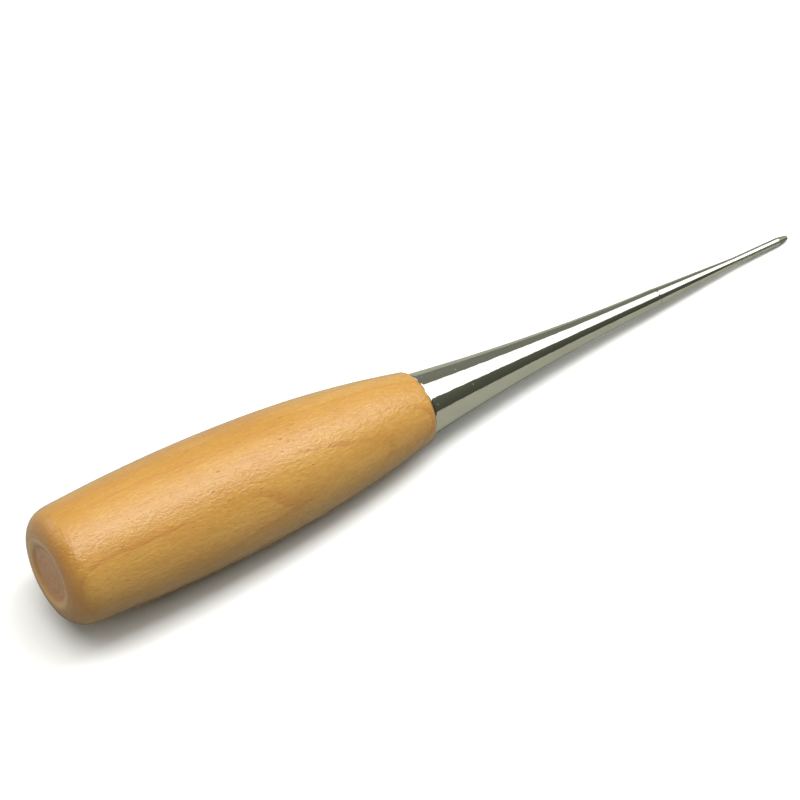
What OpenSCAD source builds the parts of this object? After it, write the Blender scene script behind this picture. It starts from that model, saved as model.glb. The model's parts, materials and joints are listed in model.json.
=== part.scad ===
// Hand awl: turned wooden handle, chromed trumpet ferrule, and a ground steel
// rod with a parallel blunt pin at its end. The rod's tang is bedded in resin.
//
// Every piece is turned about one tool axis. In the outlines below, x is the
// radius and y is the distance from the butt of the handle towards the tip.
// lay_down() then lays the whole tool on the plane z = 0, where it rests on
// the belly of its handle and on its tip, with the tip towards +X.

/* [Handle] */
// Length of the turned handle, from its butt to its front face
handle_length = 86.2; // [84:0.1:90]
// Radius of the handle at its belly
belly_r = 13.3; // [12.8:0.1:14.5]
// Distance of the belly from the butt
belly_at = 30; // [26:0.5:34]
// Radius of the long curve over the belly
belly_curve_r = 330; // [300:5:400]
// Where the long curve meets the rounder one that runs to the front
front_curve_at = 52; // [46:0.5:54]
// Radius of that rounder curve
front_curve_r = 222; // [215:1:250]
// Radius of the rounded shoulder at the butt
shoulder_r = 4.9; // [3:0.1:5.3]
// Radius of the rounded edge at the front
front_edge_r = 1.3; // [0.6:0.05:1.5]
// Radius of the dish turned into the butt face
dish_r = 6.5; // [5:0.1:6.8]
// Width of the dish's sloping wall
dish_wall = 0.9; // [0.3:0.1:1.5]
// Depth of the dish
dish_depth = 0.5; // [0.2:0.05:1]
// Radius of the tenon that carries the ferrule
tenon_r = 5; // [4.4:0.1:5.2]
// Length of the tenon
tenon_length = 9; // [6:0.5:11]
// Radius of the blind hole that takes the tang
tang_hole_r = 2.6; // [2.3:0.05:3]
// How far the blind hole goes into the handle from its front face
tang_hole_depth = 46; // [38:1:50]

/* [Ferrule] */
// Radius of the ferrule where it sits on the handle
ferrule_base_r = 6.85; // [6.6:0.05:7.1]
// Length of the ferrule
ferrule_length = 60.6; // [55:0.1:62]
// Radius of its nose, where the rod comes out
ferrule_nose_r = 1.98; // [1.95:0.01:2.2]
// Radius of the hollow curve of its outside
flare_curve_r = 545; // [500:10:700]
// Radius of the rounded edge at its base
ferrule_edge_r = 0.45; // [0.2:0.05:0.6]
// Length of the nose that grips the rod
nose_grip = 16; // [10:1:20]

/* [Rod] */
// Radius of the steel rod
rod_r = 1.92; // [1.8:0.01:2]
// Length of the ground taper in front of the ferrule
taper_length = 20.9; // [16:0.1:24]
// Radius of the parallel pin
pin_r = 0.88; // [0.8:0.01:1.2]
// Length of the parallel pin
pin_length = 11.7; // [8:0.1:16]
// Radius of the blunt end
point_r = 0.45; // [0.3:0.05:0.7]
// Length of the short cone that leads to the blunt end
point_length = 2.5; // [1:0.1:4]
// How far the rod stops short of the bottom of its hole
tang_gap = 1.5; // [0.5:0.1:3]
// Length of the two flats that stop the tang from turning
flat_length = 24; // [12:1:30]
// Thickness across the two flats
flat_thickness = 2.9; // [2.4:0.1:3.4]

/* [Hidden] */

ROUND = 120;        // facets of a turned surface
LONG_STEPS = 12;    // steps along each long curve of an outline
EDGE_STEPS = 6;     // steps around each rounded edge

// Points of an arc after its first one, given by its centre, radius and angles
function arc(centre, r, from, to, steps) = [
    for (i = [1:steps])
        let (a = from + (to - from) * i / steps)
            centre + r * [cos(a), sin(a)]
];

// The angle of the line that runs from one point to another
function bearing(from, to) = atan2(to.y - from.y, to.x - from.x);

// Centre [radius, distance] of each curve of the handle. Neighbours are tangent.
belly_c = [belly_r - belly_curve_r, belly_at];
front_turn = asin((front_curve_at - belly_at) / belly_curve_r);
front_c = belly_c + (belly_curve_r - front_curve_r) * [cos(front_turn), sin(front_turn)];
shoulder_c = [
    belly_c.x + sqrt(pow(belly_curve_r - shoulder_r, 2) - pow(belly_at - shoulder_r, 2)),
    shoulder_r
];
edge_at = handle_length - front_edge_r;
edge_c = [
    front_c.x + sqrt(pow(front_curve_r - front_edge_r, 2) - pow(edge_at - front_c.y, 2)),
    edge_at
];
hole_bottom = handle_length - tang_hole_depth;
tenon_end = handle_length + tenon_length;

// The ferrule's hollow curve passes through its base edge and its nose edge
nose_at = handle_length + ferrule_length;
flare_base = [ferrule_base_r, handle_length];
flare_nose = [ferrule_nose_r, nose_at];
chord = norm(flare_nose - flare_base);
flare_normal = [ferrule_length, ferrule_base_r - ferrule_nose_r] / chord;
flare_c = (flare_base + flare_nose) / 2
    + flare_normal * sqrt(pow(flare_curve_r, 2) - pow(chord / 2, 2));
base_edge_at = handle_length + ferrule_edge_r;
base_edge_c = [
    flare_c.x - sqrt(pow(flare_curve_r + ferrule_edge_r, 2) - pow(flare_c.y - base_edge_at, 2)),
    base_edge_at
];
flare_turn = bearing(base_edge_c, flare_c);
grip_at = nose_at - nose_grip;

// Stations along the rod
tang_end = hole_bottom + tang_gap;
taper_end = nose_at + taper_length;
pin_end = taper_end + pin_length;
tip_end = pin_end + point_length;

// The tool lies with its front curve and the end of its pin on one plane
reach = [pin_r - front_c.x, pin_end - front_c.y];
lie_angle = asin(front_curve_r / norm(reach)) - atan2(reach.x, reach.y);
lie_height = pin_end * sin(lie_angle) + pin_r * cos(lie_angle);
butt_x = shoulder_c.y * cos(lie_angle) - shoulder_c.x * sin(lie_angle) - shoulder_r;
tip_x = tip_end * cos(lie_angle) + point_r * sin(lie_angle);
middle_x = (butt_x + tip_x) / 2;

module lay_down() {
    translate([-middle_x, 0, lie_height])
        rotate([0, 90 + lie_angle, 0])
            children();
}

module handle_outline() {
    shoulder_turn = bearing(belly_c, shoulder_c);
    edge_turn = bearing(front_c, edge_c);
    polygon(concat(
        [
            [0, dish_depth],
            [dish_r - dish_wall, dish_depth],
            [dish_r, 0],
            [shoulder_c.x, 0]
        ],
        arc(shoulder_c, shoulder_r, -90, shoulder_turn, EDGE_STEPS),
        arc(belly_c, belly_curve_r, shoulder_turn, front_turn, LONG_STEPS),
        arc(front_c, front_curve_r, front_turn, edge_turn, LONG_STEPS),
        arc(edge_c, front_edge_r, edge_turn, 90, EDGE_STEPS),
        [
            [tenon_r, handle_length],
            [tenon_r, tenon_end],
            [tang_hole_r, tenon_end],
            [tang_hole_r, hole_bottom],
            [0, hole_bottom]
        ]
    ));
}

// Turned in one piece with its tenon, with a dish in the butt face
module handle() {
    color([0.86, 0.62, 0.33])
        lay_down()
            rotate_extrude($fn = ROUND)
                handle_outline();
}

module ferrule_outline() {
    polygon(concat(
        [
            [tenon_r, handle_length],
            [base_edge_c.x, handle_length]
        ],
        arc(base_edge_c, ferrule_edge_r, -90, flare_turn, EDGE_STEPS),
        arc(flare_c, flare_curve_r, 180 + flare_turn, 180 + bearing(flare_nose, flare_c), LONG_STEPS),
        [
            [rod_r, nose_at],
            [rod_r, grip_at],
            [tenon_r, tenon_end]
        ]
    ));
}

// Thin-walled tube: a socket for the tenon, a tapering hollow, and a nose bore
module ferrule() {
    color([0.80, 0.81, 0.82])
        lay_down()
            rotate_extrude($fn = ROUND)
                ferrule_outline();
}

module rod_outline() {
    polygon([
        [0, tang_end],
        [rod_r, tang_end],
        [rod_r, nose_at],
        [pin_r, taper_end],
        [pin_r, pin_end],
        [point_r, tip_end],
        [0, tip_end]
    ]);
}

// One side cut away along the tang, mirrored for the other side
module tang_flat() {
    translate([flat_thickness / 2, -rod_r, tang_end - 1])
        cube([rod_r, 2 * rod_r, flat_length + 1]);
}

module rod_solid() {
    difference() {
        rotate_extrude($fn = ROUND)
            rod_outline();
        tang_flat();
        mirror([1, 0, 0])
            tang_flat();
    }
}

module awl_rod() {
    color([0.72, 0.72, 0.70])
        lay_down()
            rod_solid();
}

// Cured resin that fills the blind hole around the tang
module tang_resin() {
    color([0.75, 0.68, 0.45])
        lay_down()
            difference() {
                translate([0, 0, hole_bottom])
                    cylinder(r = tang_hole_r, h = tenon_end - hole_bottom, $fn = ROUND);
                rod_solid();
            }
}

handle();
ferrule();
awl_rod();
tang_resin();
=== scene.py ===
# Looks of the hand awl: a turned and lacquered wooden handle, a chromed trumpet
# ferrule and a ground steel rod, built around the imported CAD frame. Lengths in metres.
import json
import math

import bmesh
import bpy
from mathutils import Matrix, Vector, noise


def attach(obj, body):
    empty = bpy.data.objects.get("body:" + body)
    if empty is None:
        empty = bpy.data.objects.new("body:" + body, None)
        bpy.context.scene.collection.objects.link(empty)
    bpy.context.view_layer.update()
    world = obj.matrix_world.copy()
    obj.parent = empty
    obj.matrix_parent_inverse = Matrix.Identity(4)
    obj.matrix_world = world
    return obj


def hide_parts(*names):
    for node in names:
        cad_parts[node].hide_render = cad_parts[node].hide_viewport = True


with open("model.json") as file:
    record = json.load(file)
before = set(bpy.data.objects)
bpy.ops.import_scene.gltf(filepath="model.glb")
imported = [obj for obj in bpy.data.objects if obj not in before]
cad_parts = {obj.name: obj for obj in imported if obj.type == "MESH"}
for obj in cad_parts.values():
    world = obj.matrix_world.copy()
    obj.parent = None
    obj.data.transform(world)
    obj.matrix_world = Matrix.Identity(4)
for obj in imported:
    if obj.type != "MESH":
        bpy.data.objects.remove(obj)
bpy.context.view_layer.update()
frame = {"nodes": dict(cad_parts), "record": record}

MM = 0.001
TOUCHING = 1e-7  # points closer than this are one point
MOUNTS = {m["name"]: m for m in frame["record"]["mounts"]}

# ---------------------------------------------------------------- tool axis
# `along` is the distance from the butt towards the tip.
ALONG = Vector(MOUNTS["tip_pin"]["axis"]).normalized()
ACROSS = Vector((0, 1, 0))
ABOVE = ALONG.cross(ACROSS).normalized()
if ABOVE.z < 0:
    ABOVE.negate()
PIN_MIDDLE = Vector(MOUNTS["tip_pin"]["pos_m"])
BUTT = PIN_MIDDLE + ALONG * (Vector(MOUNTS["butt_rim"]["pos_m"]) - PIN_MIDDLE).dot(ALONG)
LIE_ANGLE = math.asin(-ALONG.z)


def outward(angle):
    return ABOVE * math.cos(angle) + ACROSS * math.sin(angle)


# ------------------------------------------------------- outlines from the CAD
SECTION_ANGLE = math.radians(46.3)
STRAIGHT = 6 * MM  # a run longer than this between two corners is a straight one
FLAT_WITHIN = 0.004 * MM
NEAR_SECTION = 0.12 * MM  # corners farther than this from the section belong elsewhere
TRUE_EDGE = 32  # degrees of turn from which a corner stays a corner
UNEVEN = 4  # a run this many times its neighbour's length sets the tangent alone


def section_loop(node):
    """The CAD node cut by a plane through the tool axis: (along, signed radius) in order."""
    out = outward(SECTION_ANGLE)
    cut = bmesh.new()
    cut.from_mesh(frame["nodes"][node].data)
    bmesh.ops.remove_doubles(cut, verts=cut.verts, dist=TOUCHING)
    made = bmesh.ops.bisect_plane(
        cut,
        geom=cut.verts[:] + cut.edges[:] + cut.faces[:],
        plane_co=BUTT,
        plane_no=out.cross(ALONG),
        dist=1e-8,
    )["geom_cut"]
    links = {}
    for edge in (g for g in made if isinstance(g, bmesh.types.BMEdge)):
        a, b = edge.verts
        links.setdefault(a, []).append(b)
        links.setdefault(b, []).append(a)
    start = max(links, key=lambda v: (v.co - BUTT).dot(out))
    loop, before = [start], None
    while True:
        onward = [v for v in links[loop[-1]] if v is not before]
        before = loop[-1]
        if not onward or onward[0] is start:
            break
        loop.append(onward[0])
    flat = [Vector(((v.co - BUTT).dot(ALONG), (v.co - BUTT).dot(out))) for v in loop]
    cut.free()
    return flat


def turn_at(a, b, c):
    """The outline's change of direction at b, in degrees."""
    one, two = b - a, c - b
    if min(one.length, two.length) < TOUCHING:
        return 0.0
    return math.degrees(one.angle(two))


def thinned(points):
    """Drops every point that lies on the straight line between its neighbours."""
    if len(points) < 3:
        return points
    a, b = points[0], points[-1]
    line = b - a
    worst, where = -1.0, 0
    for i in range(1, len(points) - 1):
        rel = points[i] - a
        if line.length < TOUCHING:
            off = rel.length
        else:
            t = max(0.0, min(1.0, rel.dot(line) / line.length_squared))
            off = (rel - line * t).length
        if off > worst:
            worst, where = off, i
    if worst < FLAT_WITHIN:
        return [a, b]
    return thinned(points[: where + 1])[:-1] + thinned(points[where:])


def cad_outline(node):
    """Corner points (along, radius) of a turned CAD node, in order, and whether they
    form a loop of their own (a tube) or start and end on the tool axis."""
    loop = section_loop(node)
    tube = min(p.y for p in loop) > 0
    if not tube:
        turn = next(i for i in range(len(loop)) if loop[i - 1].y <= 0 < loop[i].y)
        loop = [p for p in loop[turn:] + loop[:turn] if p.y > 0]
        loop = [Vector((loop[0].x, 0))] + loop + [Vector((loop[-1].x, 0))]
    else:
        loop = loop + [loop[0]]
    # the mesh's own corners lie on the true surface; the cut only gives their order
    found = {}
    for vert in frame["nodes"][node].data.vertices:
        rel = vert.co - BUTT
        along = rel.dot(ALONG)
        radius = (rel - ALONG * along).length
        found.setdefault((round(along / MM, 2), round(radius / MM, 2)), Vector((along, radius)))
    placed = []
    for p in found.values():
        best, at, run = 1.0, 0.0, 0.0
        for a, b in zip(loop, loop[1:]):
            line = b - a
            if line.length > TOUCHING:
                t = max(0.0, min(1.0, (p - a).dot(line) / line.length_squared))
                off = (p - a - line * t).length
                if off < best:
                    best, at = off, run + line.length * t
                run += line.length
        if best < NEAR_SECTION:
            placed.append((at, p.y, p))
    placed.sort(key=lambda k: (k[0], k[1]))
    points = [p for _, _, p in placed]
    if tube:
        after = points[1:] + points[:1]
        turns = [turn_at(points[i - 1], p, after[i]) for i, p in enumerate(points)]
        first = turns.index(max(turns))
        points = points[first:] + points[:first]
        points.append(points[0])
    else:
        if points[0].y > TOUCHING:
            points.insert(0, Vector((points[0].x, 0)))
        if points[-1].y > TOUCHING:
            points.append(Vector((points[-1].x, 0)))
    return thinned(points), tube


def tangents(points):
    """The outline's direction before and after each point. Arcs turn smoothly,
    true edges and the ends of straight runs keep a corner."""
    last = len(points) - 1
    lines = [(b - a) for a, b in zip(points, points[1:])]
    made = []
    for i in range(last + 1):
        ahead = lines[min(i, last - 1)].normalized()
        behind = lines[max(i - 1, 0)].normalized()
        if 0 < i < last:
            one, two = lines[i - 1].length, lines[i].length
            turn = turn_at(points[i - 1], points[i], points[i + 1])
            corner = turn > TRUE_EDGE or (max(one, two) > STRAIGHT and turn > 1)
            if not corner and max(one, two) > UNEVEN * min(one, two):
                ahead = behind = ahead if two > one else behind
            elif not corner:
                ahead = behind = (behind * two + ahead * one).normalized()
        made.append((behind, ahead))
    return made


def smoothed(points, step):
    """Points a step apart on a smooth curve through the outline's corners."""
    slopes = tangents(points)
    made = []
    for i in range(len(points) - 1):
        a, b = points[i], points[i + 1]
        span = (b - a).length
        count = max(2, math.ceil(span / step))
        for k in range(count):
            t = k / count
            made.append(
                a * (2 * t**3 - 3 * t**2 + 1)
                + slopes[i][1] * span * (t**3 - 2 * t**2 + t)
                + b * (3 * t**2 - 2 * t**3)
                + slopes[i + 1][0] * span * (t**3 - t**2)
            )
    made.append(points[-1].copy())
    return made


def eased(points, passes):
    """Takes the sharpness off edges, as tumbling, plating and handling do."""
    for _ in range(passes):
        inner = [
            b * 0.5 + (a + c) * 0.25 for a, b, c in zip(points, points[1:], points[2:])
        ]
        points = [points[0]] + inner + [points[-1]]
    return points


# ------------------------------------------------------------------ turning
EDGE_SHOWS = math.radians(40)


def turned(name, outline, tube, segments, relief=None):
    """A mesh turned about the tool axis. relief(along, radius, angle) lifts the surface."""
    if tube:
        outline = outline[:-1]
    count = len(outline)
    area = sum(
        outline[i].x * outline[(i + 1) % count].y - outline[(i + 1) % count].x * outline[i].y
        for i in range(count)
    )
    side = -1 if area > 0 else 1
    bm = bmesh.new()
    rings = []
    for i, p in enumerate(outline):
        if p.y < TOUCHING:
            rings.append([bm.verts.new(BUTT + ALONG * p.x)])
            continue
        tangent = outline[(i + 1) % count] - outline[i - 1]
        normal = Vector((-tangent.y, tangent.x)).normalized() * side
        ring = []
        for k in range(segments):
            angle = 2 * math.pi * k / segments
            lift = relief(p.x, p.y, angle) if relief else 0.0
            radius = p.y + normal.y * lift
            centre = BUTT + ALONG * (p.x + normal.x * lift)
            ring.append(bm.verts.new(centre + outward(angle) * radius))
        rings.append(ring)
    pairs = list(zip(rings, rings[1:]))
    if tube:
        pairs.append((rings[-1], rings[0]))
    for a, b in pairs:
        for k in range(segments):
            n = (k + 1) % segments
            corners = [a[k % len(a)], a[n % len(a)], b[n % len(b)], b[k % len(b)]]
            unique = list(dict.fromkeys(corners))
            if len(unique) > 2:
                bm.faces.new(unique)
    bmesh.ops.recalc_face_normals(bm, faces=bm.faces)
    for face in bm.faces:
        face.smooth = True
    for edge in bm.edges:
        if len(edge.link_faces) == 2 and edge.calc_face_angle() > EDGE_SHOWS:
            edge.smooth = False
    mesh = bpy.data.meshes.new(name)
    bm.to_mesh(mesh)
    bm.free()
    piece = bpy.data.objects.new(name, mesh)
    bpy.context.collection.objects.link(piece)
    return piece


def place(piece, node, material):
    """Gives a piece its material and puts it in the CAD node's place."""
    piece.data.materials.append(material)
    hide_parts(node)
    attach(piece, "root")


# ---------------------------------------------------------------- node helper
class Nodes:
    """A short way to write a procedural material. Its x, y, z are millimetres on the
    tool: x along the axis from the butt, y and z across it."""

    def __init__(self, name):
        self.material = bpy.data.materials.new(name)
        self.material.use_nodes = True
        self.tree = self.material.node_tree
        self.shader = self.tree.nodes["Principled BSDF"]
        place_in_mm = self.add("ShaderNodeMapping")
        self.wire(self.add("ShaderNodeTexCoord").outputs["Object"], place_in_mm, "Vector")
        turn = Matrix.Rotation(-LIE_ANGLE, 3, "Y")
        place_in_mm.inputs["Scale"].default_value = (1 / MM,) * 3
        place_in_mm.inputs["Rotation"].default_value = (0, -LIE_ANGLE, 0)
        place_in_mm.inputs["Location"].default_value = turn @ BUTT * (-1 / MM)
        self.tool = place_in_mm.outputs["Vector"]
        split = self.add("ShaderNodeSeparateXYZ")
        self.wire(self.tool, split, "Vector")
        self.x, self.y, self.z = split.outputs

    def add(self, kind, **settings):
        node = self.tree.nodes.new(kind)
        for key, value in settings.items():
            setattr(node, key, value)
        return node

    def wire(self, source, node, socket):
        if isinstance(source, bpy.types.NodeSocket):
            self.tree.links.new(source, node.inputs[socket])
        else:
            node.inputs[socket].default_value = source

    def math(self, operation, *values, clamp=False):
        node = self.add("ShaderNodeMath", operation=operation, use_clamp=clamp)
        for i, value in enumerate(values):
            self.wire(value, node, i)
        return node.outputs[0]

    def stretch(self, scale):
        node = self.add("ShaderNodeVectorMath", operation="MULTIPLY")
        self.wire(self.tool, node, 0)
        node.inputs[1].default_value = scale
        return node.outputs[0]

    def noise(self, scale, detail=2.0, rough=0.5, distort=0.0):
        node = self.add("ShaderNodeTexNoise")
        self.wire(self.stretch(scale), node, "Vector")
        node.inputs["Scale"].default_value = 1.0
        node.inputs["Detail"].default_value = detail
        node.inputs["Roughness"].default_value = rough
        node.inputs["Distortion"].default_value = distort
        return node.outputs["Fac"]

    def span(self, value, low, high, to_low=0.0, to_high=1.0):
        """A smooth step from to_low at low to to_high at high."""
        node = self.add("ShaderNodeMapRange", clamp=True)
        node.interpolation_type = "SMOOTHSTEP"
        self.wire(value, node, "Value")
        sockets = ("From Min", "From Max", "To Min", "To Max")
        for socket, number in zip(sockets, (low, high, to_low, to_high)):
            node.inputs[socket].default_value = number
        return node.outputs["Result"]

    def cells(self, per_mm):
        """Distance to the nearest of scattered points, about per_mm of them a millimetre."""
        node = self.add("ShaderNodeTexVoronoi")
        self.wire(self.stretch((per_mm,) * 3), node, "Vector")
        node.inputs["Scale"].default_value = 1.0
        return node.outputs["Distance"]

    def blend(self, share, a, b):
        node = self.add("ShaderNodeMix", data_type="RGBA")
        self.wire(share, node, 0)
        for value, socket in ((a, 6), (b, 7)):
            if isinstance(value, tuple):
                value = (*value, 1.0)
            self.wire(value, node, socket)
        return node.outputs[2]

    def bump(self, height, distance, strength=1.0):
        node = self.add("ShaderNodeBump")
        self.wire(height, node, "Height")
        node.inputs["Distance"].default_value = distance
        node.inputs["Strength"].default_value = strength
        return node.outputs["Normal"]

    def axis_distance(self):
        flat = self.stretch((0, 1, 1))
        node = self.add("ShaderNodeVectorMath", operation="LENGTH")
        self.wire(flat, node, 0)
        return node.outputs["Value"]

    def set(self, socket, value):
        self.wire(value, self.shader, socket)


# -------------------------------------------------------------------- wood
# Millimetres, as all the shader lengths below.
DISH_RADIUS = 6.5
PITH = (34.0, -12.0)  # the tree's centre lies beside the handle
PITH_LEAN = (0.035, -0.02)
RING_PITCH = 3.6


def growth_rings(n):
    """The dark late wood of rings around a pith that leans against the tool axis."""
    ring_y = n.math("ADD", n.y, n.math("MULTIPLY_ADD", n.x, PITH_LEAN[0], -PITH[0]))
    ring_z = n.math("ADD", n.z, n.math("MULTIPLY_ADD", n.x, PITH_LEAN[1], -PITH[1]))
    squared = n.math("ADD", n.math("MULTIPLY", ring_y, ring_y), n.math("MULTIPLY", ring_z, ring_z))
    wander = n.noise((0.022, 0.07, 0.07), detail=3, rough=0.55)
    ring = n.math("MULTIPLY_ADD", wander, 5.5, n.math("SQRT", squared))
    spaced = n.math("FRACT", n.math("MULTIPLY", ring, 1 / RING_PITCH))
    late = n.math("MULTIPLY", n.span(spaced, 0.72, 0.98), n.span(spaced, 1.0, 0.975))
    patchy = n.span(n.noise((0.03, 0.12, 0.12), detail=2), 0.42, 0.62)
    return n.math("MULTIPLY", late, n.math("MULTIPLY_ADD", patchy, 0.75, 0.25))


def wood_pores(n):
    """Short dark pores, denser in some places than in others."""
    pores = n.noise((0.55, 2.6, 2.6), detail=1.0)
    sparse = n.span(n.noise((0.07, 0.28, 0.28), detail=1), 0.5, 0.66)
    return n.math("MULTIPLY", n.span(pores, 0.70, 0.76), n.math("MULTIPLY_ADD", sparse, 0.8, 0.2))


def long_grain(n, pore):
    """The colour of the wood along its grain."""
    broad = n.span(n.noise((0.03, 0.11, 0.11), detail=3, rough=0.6), 0.3, 0.7)
    colour = n.blend(broad, (0.485, 0.250, 0.050), (0.55, 0.315, 0.078))
    rosy = n.span(n.noise((0.018, 0.16, 0.16), detail=2, distort=0.6), 0.52, 0.74)
    colour = n.blend(n.math("MULTIPLY", rosy, 0.45), colour, (0.485, 0.210, 0.045))
    late = growth_rings(n)
    colour = n.blend(n.math("MULTIPLY", late, 0.40), colour, (0.36, 0.13, 0.028))
    fibre = n.noise((0.10, 3.2, 3.2), detail=4, rough=0.6)
    colour = n.blend(n.span(fibre, 0.3, 0.72, 0.18, 0.0), colour, (0.30, 0.12, 0.03))
    mottle = n.noise((0.9, 1.7, 1.7), detail=3, rough=0.65)
    colour = n.blend(n.span(mottle, 0.35, 0.7, 0.22, 0.0), colour, (0.31, 0.125, 0.028))
    return n.blend(n.math("MULTIPLY", pore, 0.5), colour, (0.26, 0.10, 0.03))


def end_grain_and_rim_highlight(n, colour):
    """Darker end grain on the faces, a ringed dish in the butt and a painted highlight, a paler
    ring, on the rim around it.
    """
    radius = n.axis_distance()
    facing = n.add("ShaderNodeVectorMath", operation="DOT_PRODUCT")
    n.wire(n.add("ShaderNodeNewGeometry").outputs["Normal"], facing, 0)
    facing.inputs[1].default_value = tuple(ALONG)
    end = n.span(n.math("ABSOLUTE", facing.outputs["Value"]), 0.35, 0.95)
    colour = n.blend(n.math("MULTIPLY", end, 0.55), colour, (0.42, 0.18, 0.055))
    at_butt = n.span(n.x, 0.9, 0.45)
    within = n.span(radius, DISH_RADIUS - 0.2, DISH_RADIUS - 1.4)
    wavy = n.math("MULTIPLY_ADD", n.noise((0.2, 0.2, 0.2)), 1.4, radius)
    rings = n.span(n.math("FRACT", n.math("MULTIPLY", wavy, 0.62)), 0.2, 0.95, 0.0, 0.6)
    dish = n.blend(rings, (0.56, 0.25, 0.11), (0.42, 0.16, 0.055))
    inside = n.math("MULTIPLY", at_butt, within)
    colour = n.blend(n.math("MULTIPLY", inside, 0.85), colour, dish)
    # painted highlight: a paler ring on the rim around the dish, standing in for the light its lip
    # catches
    highlight_rim_inner = n.span(radius, DISH_RADIUS - 0.8, DISH_RADIUS + 0.1)
    highlight_rim_outer = n.span(radius, DISH_RADIUS + 1.6, DISH_RADIUS + 0.5)
    rim_highlight = n.math("MULTIPLY", n.math("MULTIPLY", highlight_rim_inner, highlight_rim_outer), n.span(n.x, 1.6, 0.6))
    return n.blend(n.math("MULTIPLY", rim_highlight, 0.55), colour, (0.66, 0.42, 0.19))


def lacquered_wood():
    n = Nodes("lacquered_wood")
    pore = wood_pores(n)
    n.set("Base Color", end_grain_and_rim_highlight(n, long_grain(n, pore)))
    n.set("Roughness", n.span(n.noise((0.25, 0.5, 0.5), detail=3), 0.3, 0.7, 0.40, 0.56))
    n.set("IOR", 1.24)
    n.set("Coat Weight", 1.0)
    n.set("Coat Roughness", 0.11)
    n.set("Coat IOR", 1.40)
    # orange peel in the lacquer, raised fibres and sunken pores
    peel = n.noise((0.9, 1.5, 1.5), detail=3.0, rough=0.62)
    fine = n.noise((0.5, 4.5, 4.5), detail=2, rough=0.5)
    height = n.math("ADD", peel, n.math("MULTIPLY", fine, 0.22))
    height = n.math("MULTIPLY_ADD", pore, -0.9, height)
    normal = n.bump(height, 0.19 * MM, 0.9)
    n.set("Normal", normal)
    n.set("Coat Normal", normal)
    return n.material


# ------------------------------------------------------------------- metal
def plated_chrome():
    n = Nodes("polished_plating")
    cloud = n.noise((0.12, 0.35, 0.35), detail=3)
    cloudy = n.span(cloud, 0.3, 0.7)
    n.set("Base Color", n.blend(cloudy, (0.545, 0.55, 0.485), (0.60, 0.60, 0.54)))
    n.set("Metallic", 1.0)
    # a faint haze of polishing lines that run around the cone
    lines = n.noise((6.0, 0.25, 0.25), detail=3, rough=0.6)
    haze = n.noise((0.3, 0.6, 0.6), detail=3)
    polished = n.span(lines, 0.35, 0.75, 0.035, 0.065)
    rough = n.math("ADD", polished, n.span(haze, 0.4, 0.75, 0.0, 0.035))
    # pits left in the plating, most of them close to the handle
    near_base = n.span(n.x, 112.0, 88.0)
    chosen = n.math("GREATER_THAN", n.noise((0.35, 0.35, 0.35), detail=0), 0.57)
    allowed = n.math("MULTIPLY", near_base, chosen)
    pit = n.math("MULTIPLY", n.span(n.cells(0.9), 0.16, 0.09), allowed)
    n.set("Roughness", n.math("MULTIPLY_ADD", pit, 0.22, rough))
    waves = n.noise((0.35, 1.1, 1.1), detail=2.5, rough=0.55)
    height = n.math("ADD", waves, n.math("MULTIPLY", lines, 0.006))
    n.set("Normal", n.bump(n.math("MULTIPLY_ADD", pit, -1.6, height), 0.014 * MM))
    return n.material


def ground_steel(nose, pin_start, pin_end):
    """Steel that is bright at the ferrule's nose, rougher on its pin and dark on its end, with a
    painted shadow line at the nose.
    """
    n = Nodes("ground_steel")
    cloud = n.noise((0.2, 0.8, 0.8), detail=2)
    bright = n.blend(n.span(cloud, 0.3, 0.7), (0.55, 0.55, 0.48), (0.60, 0.60, 0.535))
    tip = n.span(n.x, pin_end - 0.15, pin_end + 0.15)
    colour = n.blend(tip, bright, (0.27, 0.265, 0.21))
    # a painted shadow line, darker base colour, where the rod leaves the ferrule
    seam_shadow = n.span(n.x, nose + 0.28, nose + 0.05)
    n.set("Base Color", n.blend(n.math("MULTIPLY", seam_shadow, 0.75), colour, (0.10, 0.10, 0.075)))
    n.set("Metallic", 1.0)
    marks = n.noise((9.0, 0.5, 0.5), detail=3, rough=0.65)
    worn = n.span(n.x, pin_start - 8, pin_start + 2, 0.0, 0.2)
    rough = n.math("ADD", n.span(marks, 0.3, 0.75, 0.06, 0.12), worn)
    n.set("Roughness", n.math("MULTIPLY_ADD", tip, 0.16, rough))
    strength = n.math("MULTIPLY_ADD", tip, 1.2, 0.18)
    n.set("Normal", n.bump(n.math("MULTIPLY", marks, strength), 0.012 * MM))
    return n.material


def set_resin():
    n = Nodes("set_resin")
    cloud = n.noise((0.4, 0.7, 0.7), detail=3)
    n.set("Base Color", n.blend(n.span(cloud, 0.3, 0.7), (0.42, 0.30, 0.12), (0.56, 0.44, 0.22)))
    n.set("Roughness", n.span(n.noise((1.5, 1.5, 1.5)), 0.3, 0.7, 0.25, 0.45))
    bubbles = n.cells(6.0)
    n.set("Normal", n.bump(n.span(bubbles, 0.0, 0.3), 0.05 * MM, 0.5))
    return n.material


# ------------------------------------------------------------------ pieces
BUTT_FACE = 0.9 * MM  # the face and its dish reach this far along the axis
BUTT_RINGS = 8.2 * MM
FRONT_FACE = 86 * MM
TENON = 6 * MM  # everything nearer the axis than this is inside or on an end
NOISE_SEED = Vector((3.1, 7.7, 1.3))


def noise_at(along, angle, radius, pitch):
    """Smooth noise on the turned surface; pitch is its grain along and around, in metres."""
    around = outward(angle) * (radius / pitch[1])
    return noise.noise(Vector((along / pitch[0], around.x + around.y, around.z)) + NOISE_SEED)


def hand_turned(along, radius, angle):
    """Sanding leaves the body a hair out of true; the cutter leaves rings on the butt."""
    if along < BUTT_FACE and radius < BUTT_RINGS:
        fade = min(1.0, (BUTT_RINGS - radius) / (1.5 * MM))
        return 0.028 * MM * fade * math.sin(2 * math.pi * radius / (1.15 * MM))
    if along > FRONT_FACE or radius < TENON:
        return 0.0
    return 0.035 * MM * noise_at(along, angle, radius, (16 * MM, 9 * MM))


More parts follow.
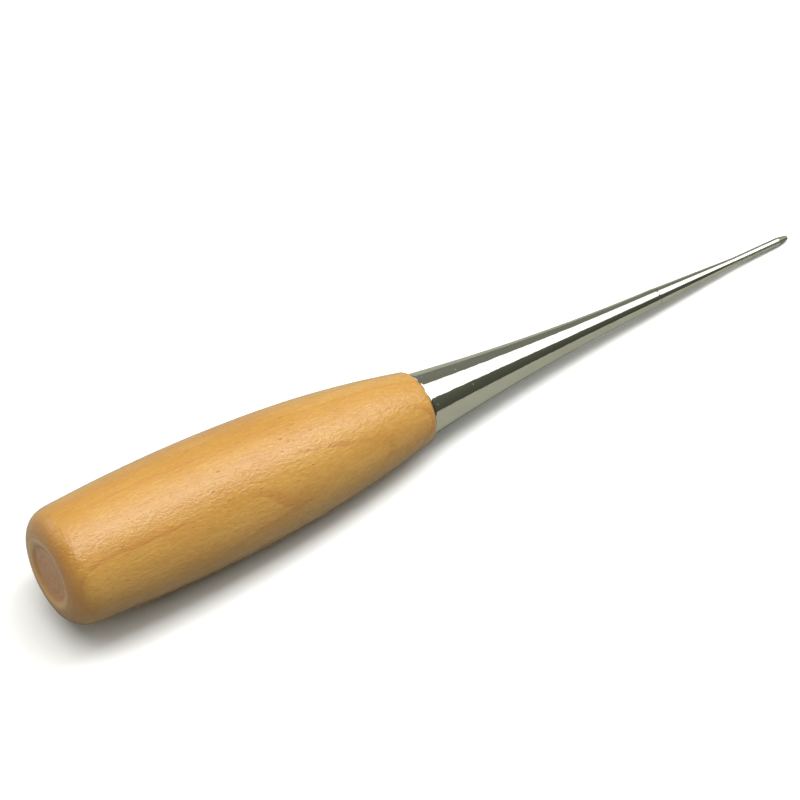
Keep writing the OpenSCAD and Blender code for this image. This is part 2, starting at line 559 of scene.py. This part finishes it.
handle_points, _ = cad_outline("handle")
handle_curve = eased(smoothed(handle_points, 0.45 * MM), 2)
handle = turned("turned_handle", handle_curve, False, 224, relief=hand_turned)
place(handle, "handle", lacquered_wood())

ferrule_points, _ = cad_outline("ferrule")
ferrule_curve = eased(smoothed(ferrule_points, 0.4 * MM), 1)
ferrule = turned("trumpet_ferrule", ferrule_curve, True, 160)
place(ferrule, "ferrule", plated_chrome())

rod_points, _ = cad_outline("awl_rod")
HALF_PIN = MOUNTS["tip_pin"]["dims"]["length_mm"] * MM / 2
PIN_START = (PIN_MIDDLE - BUTT).dot(ALONG) - HALF_PIN
PIN_END = PIN_START + 2 * HALF_PIN
NOSE = max(p.x for p in ferrule_points)

# the hidden tang stays round here; its two flats are in the CAD only
rod_curve = eased(smoothed(rod_points, 0.15 * MM), 1)
rod = turned("ground_rod", rod_curve, False, 96)
place(rod, "awl_rod", ground_steel(NOSE / MM, PIN_START / MM, PIN_END / MM))

resin = frame["nodes"]["tang_resin"]
resin.data.materials.clear()
resin.data.materials.append(set_resin())

# ------------------------------------------------------------------- stage
FLOOR_HALF = 3.0
FLOOR_DROP = 0.2 * MM
CORNERS = ((-1, -1), (1, -1), (1, 1), (-1, 1))


def seen_or_lit_by(tree, seen, lighting):
    """One shader for what the camera sees, another for what lights and mirrors on the tool."""
    rays = tree.nodes.new("ShaderNodeLightPath")
    pick = tree.nodes.new("ShaderNodeMixShader")
    tree.links.new(rays.outputs["Is Camera Ray"], pick.inputs[0])
    tree.links.new(lighting.outputs[0], pick.inputs[1])
    tree.links.new(seen.outputs[0], pick.inputs[2])
    return pick.outputs[0]


def floor_material():
    """White to the camera; the tool itself sees a mid-toned table top."""
    material = bpy.data.materials.new("pale_table")
    material.use_nodes = True
    tree = material.node_tree
    seen = tree.nodes["Principled BSDF"]
    seen.inputs["Base Color"].default_value = (0.86, 0.86, 0.86, 1)
    seen.inputs["Roughness"].default_value = 1.0
    seen.inputs["Specular IOR Level"].default_value = 0.0
    bounce = tree.nodes.new("ShaderNodeBsdfDiffuse")
    bounce.inputs["Color"].default_value = (0.32, 0.32, 0.275, 1)
    surface = tree.nodes["Material Output"].inputs["Surface"]
    tree.links.new(seen_or_lit_by(tree, seen, bounce), surface)
    return material


floor_mesh = bpy.data.meshes.new("table_top")
floor_corners = [(x * FLOOR_HALF, y * FLOOR_HALF, 0) for x, y in CORNERS]
floor_mesh.from_pydata(floor_corners, [], [(0, 1, 2, 3)])
floor_mesh.materials.append(floor_material())
floor = bpy.data.objects.new("table_top", floor_mesh)
bpy.context.collection.objects.link(floor)
floor.location.z = -FLOOR_DROP

# a wide soft box overhead with a brighter strip in its middle, and a window far behind
BOX_HEIGHT = 1.0
BOX_X = (-0.55, 1.22)
STRIP_DROP = 0.01


def soft_light(name, x_span, y_span, height, radiance, aim=None):
    """A rectangular light of even radiance, facing down or towards aim."""
    lamp = bpy.data.lights.new(name, "AREA")
    lamp.shape = "RECTANGLE"
    lamp.size = x_span[1] - x_span[0]
    lamp.size_y = y_span[1] - y_span[0]
    lamp.energy = radiance * math.pi * lamp.size * lamp.size_y
    lamp.color = (1.0, 1.0, 0.985)
    holder = bpy.data.objects.new(name, lamp)
    holder.location = (sum(x_span) / 2, sum(y_span) / 2, height)
    if aim:
        holder.rotation_euler = (aim - holder.location).to_track_quat("-Z", "Y").to_euler()
    bpy.context.collection.objects.link(holder)


soft_light("overhead_softbox", BOX_X, (-0.70, 0.62), BOX_HEIGHT, 1.9)
soft_light("softbox_tube", BOX_X, (-0.26, 0.10), BOX_HEIGHT - STRIP_DROP, 5.6)
soft_light("rear_window", (-1.7, -0.4), (1.2, 2.0), 0.95, 2.2, aim=Vector((0, 0, 0)))

# the room: a dark side behind the camera, a mid-toned wall behind the tool
DARK_SIDE = (0.12, (0.050, 0.057, 0.037, 1))
FAR_WALL = (0.8, (0.27, 0.275, 0.235, 1))
WALL_TURN = 0.45  # how much the wall's direction leans from +Y towards +X


def lit_room():
    world = bpy.data.worlds.new("room")
    world.use_nodes = True
    tree = world.node_tree

    def multiply_add(factor):
        node = tree.nodes.new("ShaderNodeMath")
        node.operation = "MULTIPLY_ADD"
        node.inputs[1].default_value = factor
        return node

    direction = tree.nodes.new("ShaderNodeTexCoord")
    parts = tree.nodes.new("ShaderNodeSeparateXYZ")
    tree.links.new(direction.outputs["Generated"], parts.inputs[0])
    leaning = multiply_add(WALL_TURN)
    tree.links.new(parts.outputs["X"], leaning.inputs[0])
    tree.links.new(parts.outputs["Y"], leaning.inputs[2])
    shift = multiply_add(0.5)
    shift.inputs[2].default_value = 0.5
    tree.links.new(leaning.outputs[0], shift.inputs[0])
    ramp = tree.nodes.new("ShaderNodeValToRGB")
    tree.links.new(shift.outputs[0], ramp.inputs[0])
    for stop, (position, colour) in zip(ramp.color_ramp.elements, (DARK_SIDE, FAR_WALL)):
        stop.position = position
        stop.color = colour
    lighting = tree.nodes["Background"]
    tree.links.new(ramp.outputs[0], lighting.inputs[0])
    seen = tree.nodes.new("ShaderNodeBackground")
    seen.inputs[0].default_value = (0.9, 0.9, 0.9, 1)
    surface = tree.nodes["World Output"].inputs["Surface"]
    tree.links.new(seen_or_lit_by(tree, seen, lighting), surface)
    return world


bpy.context.scene.world = lit_room()

# ------------------------------------------------------------------ camera
AZIMUTH = math.radians(-33.519)
ELEVATION = math.radians(52.089)
LOOK_AT = 81.98 * MM  # station on the tool axis under the middle of the picture
LOOK_ABOVE = 2.81 * MM
DISTANCE = 0.70996
LENS = 157.5  # millimetres, on a sensor 36 mm wide

right = Vector((math.cos(AZIMUTH), math.sin(AZIMUTH), 0))
level_back = Vector((math.sin(AZIMUTH), -math.cos(AZIMUTH), 0))
back_dir = level_back * math.cos(ELEVATION) + Vector((0, 0, math.sin(ELEVATION)))
up = back_dir.cross(right)
camera_data = bpy.data.cameras.new("camera")
camera_data.lens = LENS
camera_data.sensor_width = 36.0
camera_data.clip_start = 0.01
camera = bpy.data.objects.new("camera", camera_data)
eye = BUTT + ALONG * LOOK_AT + up * LOOK_ABOVE + back_dir * DISTANCE
camera.matrix_world = Matrix.Translation(eye) @ Matrix((right, up, back_dir)).transposed().to_4x4()
bpy.context.collection.objects.link(camera)
bpy.context.scene.camera = camera
bpy.context.scene.view_settings.view_transform = "Standard"
